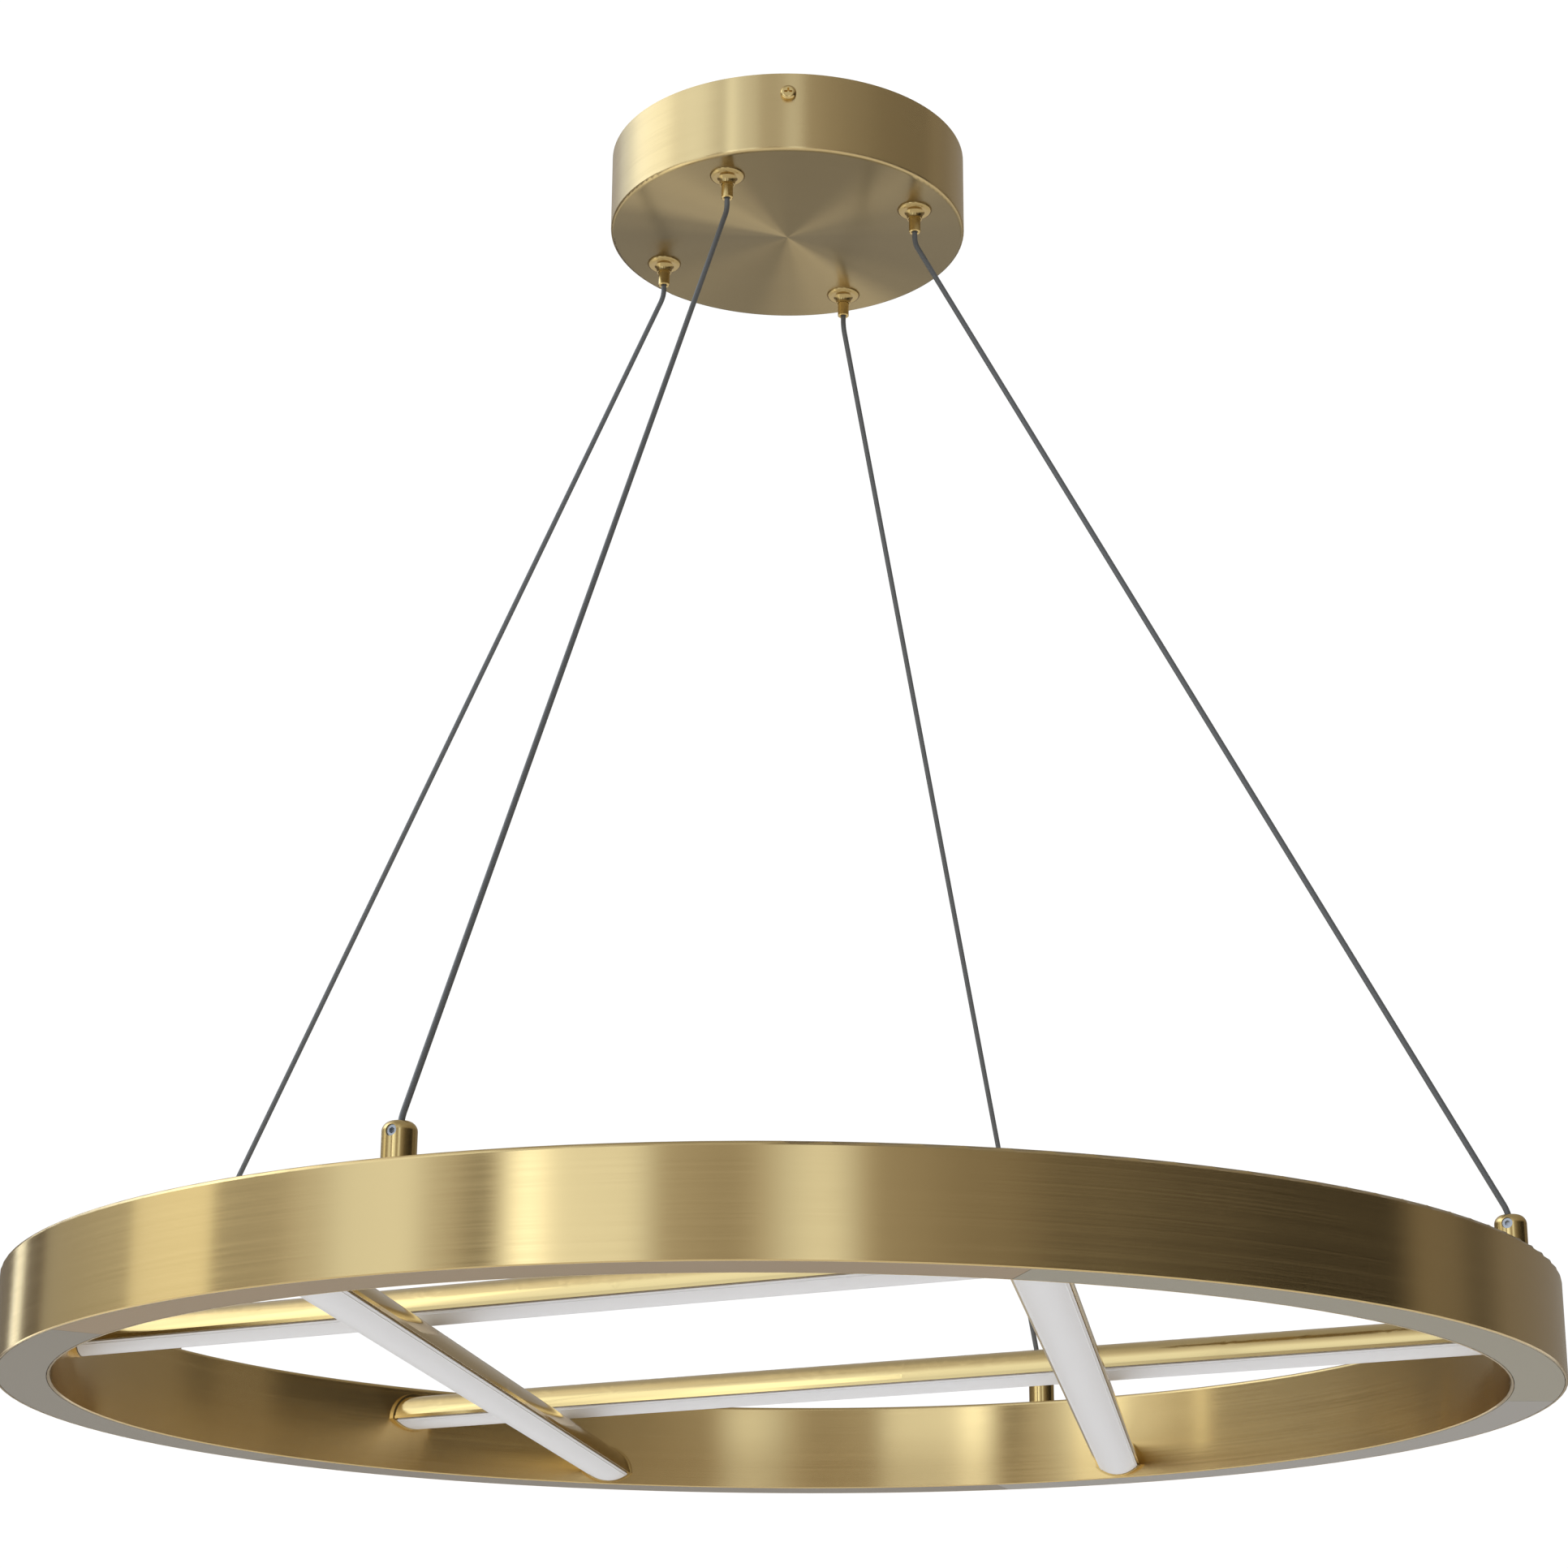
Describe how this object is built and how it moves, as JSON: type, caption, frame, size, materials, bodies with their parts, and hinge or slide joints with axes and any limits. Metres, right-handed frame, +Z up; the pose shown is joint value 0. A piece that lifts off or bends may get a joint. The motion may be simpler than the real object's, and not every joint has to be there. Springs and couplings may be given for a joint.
{
  "type": "led ring chandelier",
  "caption": "Brushed brass ring chandelier with crossing light bars inside it, hung on taut cables from a round canopy.",
  "frame": {"origin": "centre of the ceiling strap's upper face, on the ceiling", "axes": "+Z up into the ceiling; +X to the right and +Y away from the picture's camera"},
  "size_m": [0.7999, 0.8, 0.724],
  "materials": {
    "brushed_brass": "brushed brass plating, clear lacquer",
    "brass": "turned brass, satin",
    "taupe_cover": "satin taupe paint",
    "opal": "opal polycarbonate diffuser, unlit",
    "steel": "zinc plated steel",
    "cable_jacket": "clear jacket over a steel braid",
    "driver_plastic": "moulded white plastic",
    "board": "circuit board",
    "strip_board": "white light strip",
    "wire": "wire insulation"
  },
  "bodies": {
    "root": {"ceiling_strap": "steel", "canopy": "brushed_brass", "canopy_screws": "steel", "driver_spacers": "steel", "spacer_screws": "steel", "driver_case": "driver_plastic", "driver_lid": "driver_plastic", "driver_lid_screws": "steel", "driver_board": "board", "terminal_block": "driver_plastic", "terminal_screws": "steel", "grip_nuts": "steel", "grip_washers": "steel", "grip_springs": "steel", "cable_tails": "cable_jacket", "grip_body_1": "brass", "grip_body_2": "brass", "grip_body_3": "brass", "grip_body_4": "brass"},
    "ring": {"ring_channel": "brushed_brass", "ring_cover_1": "taupe_cover", "ring_cover_2": "taupe_cover", "ring_cover_3": "taupe_cover", "ring_cover_4": "taupe_cover", "ring_cover_5": "taupe_cover", "cable_post_1": "brass", "cable_post_2": "brass", "cable_post_3": "brass", "cable_post_4": "brass", "grub_screws": "steel", "post_sleeves": "steel", "wire_connectors": "driver_plastic", "ring_wires": "wire", "post_leads": "wire", "bar_screws": "steel", "upper_back_bar_housing": "brushed_brass", "upper_back_bar_diffuser": "opal", "upper_back_bar_strip": "strip_board", "upper_back_bar_ends": "brass", "upper_front_bar_housing": "brushed_brass", "upper_front_bar_diffuser": "opal", "upper_front_bar_strip": "strip_board", "upper_front_bar_ends": "brass", "lower_left_bar_housing": "brushed_brass", "lower_left_bar_diffuser": "opal", "lower_left_bar_strip": "strip_board", "lower_left_bar_ends": "brass", "lower_right_bar_housing": "brushed_brass", "lower_right_bar_diffuser": "opal", "lower_right_bar_strip": "strip_board", "lower_right_bar_ends": "brass"},
    "cable_1_body": {"cable_1": "cable_jacket"},
    "plunger_1_body": {"release_plunger_1": "brass"},
    "cable_2_body": {"cable_2": "cable_jacket"},
    "plunger_2_body": {"release_plunger_2": "brass"},
    "cable_3_body": {"cable_3": "cable_jacket"},
    "plunger_3_body": {"release_plunger_3": "brass"},
    "cable_4_body": {"cable_4": "cable_jacket"},
    "plunger_4_body": {"release_plunger_4": "brass"}
  },
  "joints": [
    {"name": "ring_sway", "type": "hinge", "parent": "root", "child": "ring", "pos_m": [0, 0, 0.09254], "axis": [0.9063, -0.4226, 0], "range_deg": [-3, 3]},
    {"name": "cable_1_swing", "type": "hinge", "parent": "root", "child": "cable_1_body", "pos_m": [-0.03402, -0.07296, -0.0644], "axis": [0.9063, -0.4226, 0], "range_deg": [-4, 4]},
    {"name": "plunger_1_press", "type": "slide", "parent": "root", "child": "plunger_1_body", "axis": [0, 0, 1], "range_m": [0, 0.0025], "stiffness_N_per_m": 600, "deforming": ["grip_springs"]},
    {"name": "cable_2_swing", "type": "hinge", "parent": "root", "child": "cable_2_body", "pos_m": [0.07296, -0.03402, -0.0644], "axis": [0.9063, -0.4226, 0], "range_deg": [-4, 4]},
    {"name": "plunger_2_press", "type": "slide", "parent": "root", "child": "plunger_2_body", "axis": [0, 0, 1], "range_m": [0, 0.0025], "stiffness_N_per_m": 600, "deforming": ["grip_springs"]},
    {"name": "cable_3_swing", "type": "hinge", "parent": "root", "child": "cable_3_body", "pos_m": [0.03402, 0.07296, -0.0644], "axis": [0.9063, -0.4226, 0], "range_deg": [-4, 4]},
    {"name": "plunger_3_press", "type": "slide", "parent": "root", "child": "plunger_3_body", "axis": [0, 0, 1], "range_m": [0, 0.0025], "stiffness_N_per_m": 600, "deforming": ["grip_springs"]},
    {"name": "cable_4_swing", "type": "hinge", "parent": "root", "child": "cable_4_body", "pos_m": [-0.07296, 0.03402, -0.0644], "axis": [0.9063, -0.4226, 0], "range_deg": [-4, 4]},
    {"name": "plunger_4_press", "type": "slide", "parent": "root", "child": "plunger_4_body", "axis": [0, 0, 1], "range_m": [0, 0.0025], "stiffness_N_per_m": 600, "deforming": ["grip_springs"]}
  ],
  "couplings": [
    {"joint": "cable_1_swing", "follows": "ring_sway", "ratio": 1.2635},
    {"joint": "cable_2_swing", "follows": "ring_sway", "ratio": 1.2635},
    {"joint": "cable_3_swing", "follows": "ring_sway", "ratio": 1.2635},
    {"joint": "cable_4_swing", "follows": "ring_sway", "ratio": 1.2635}
  ]
}
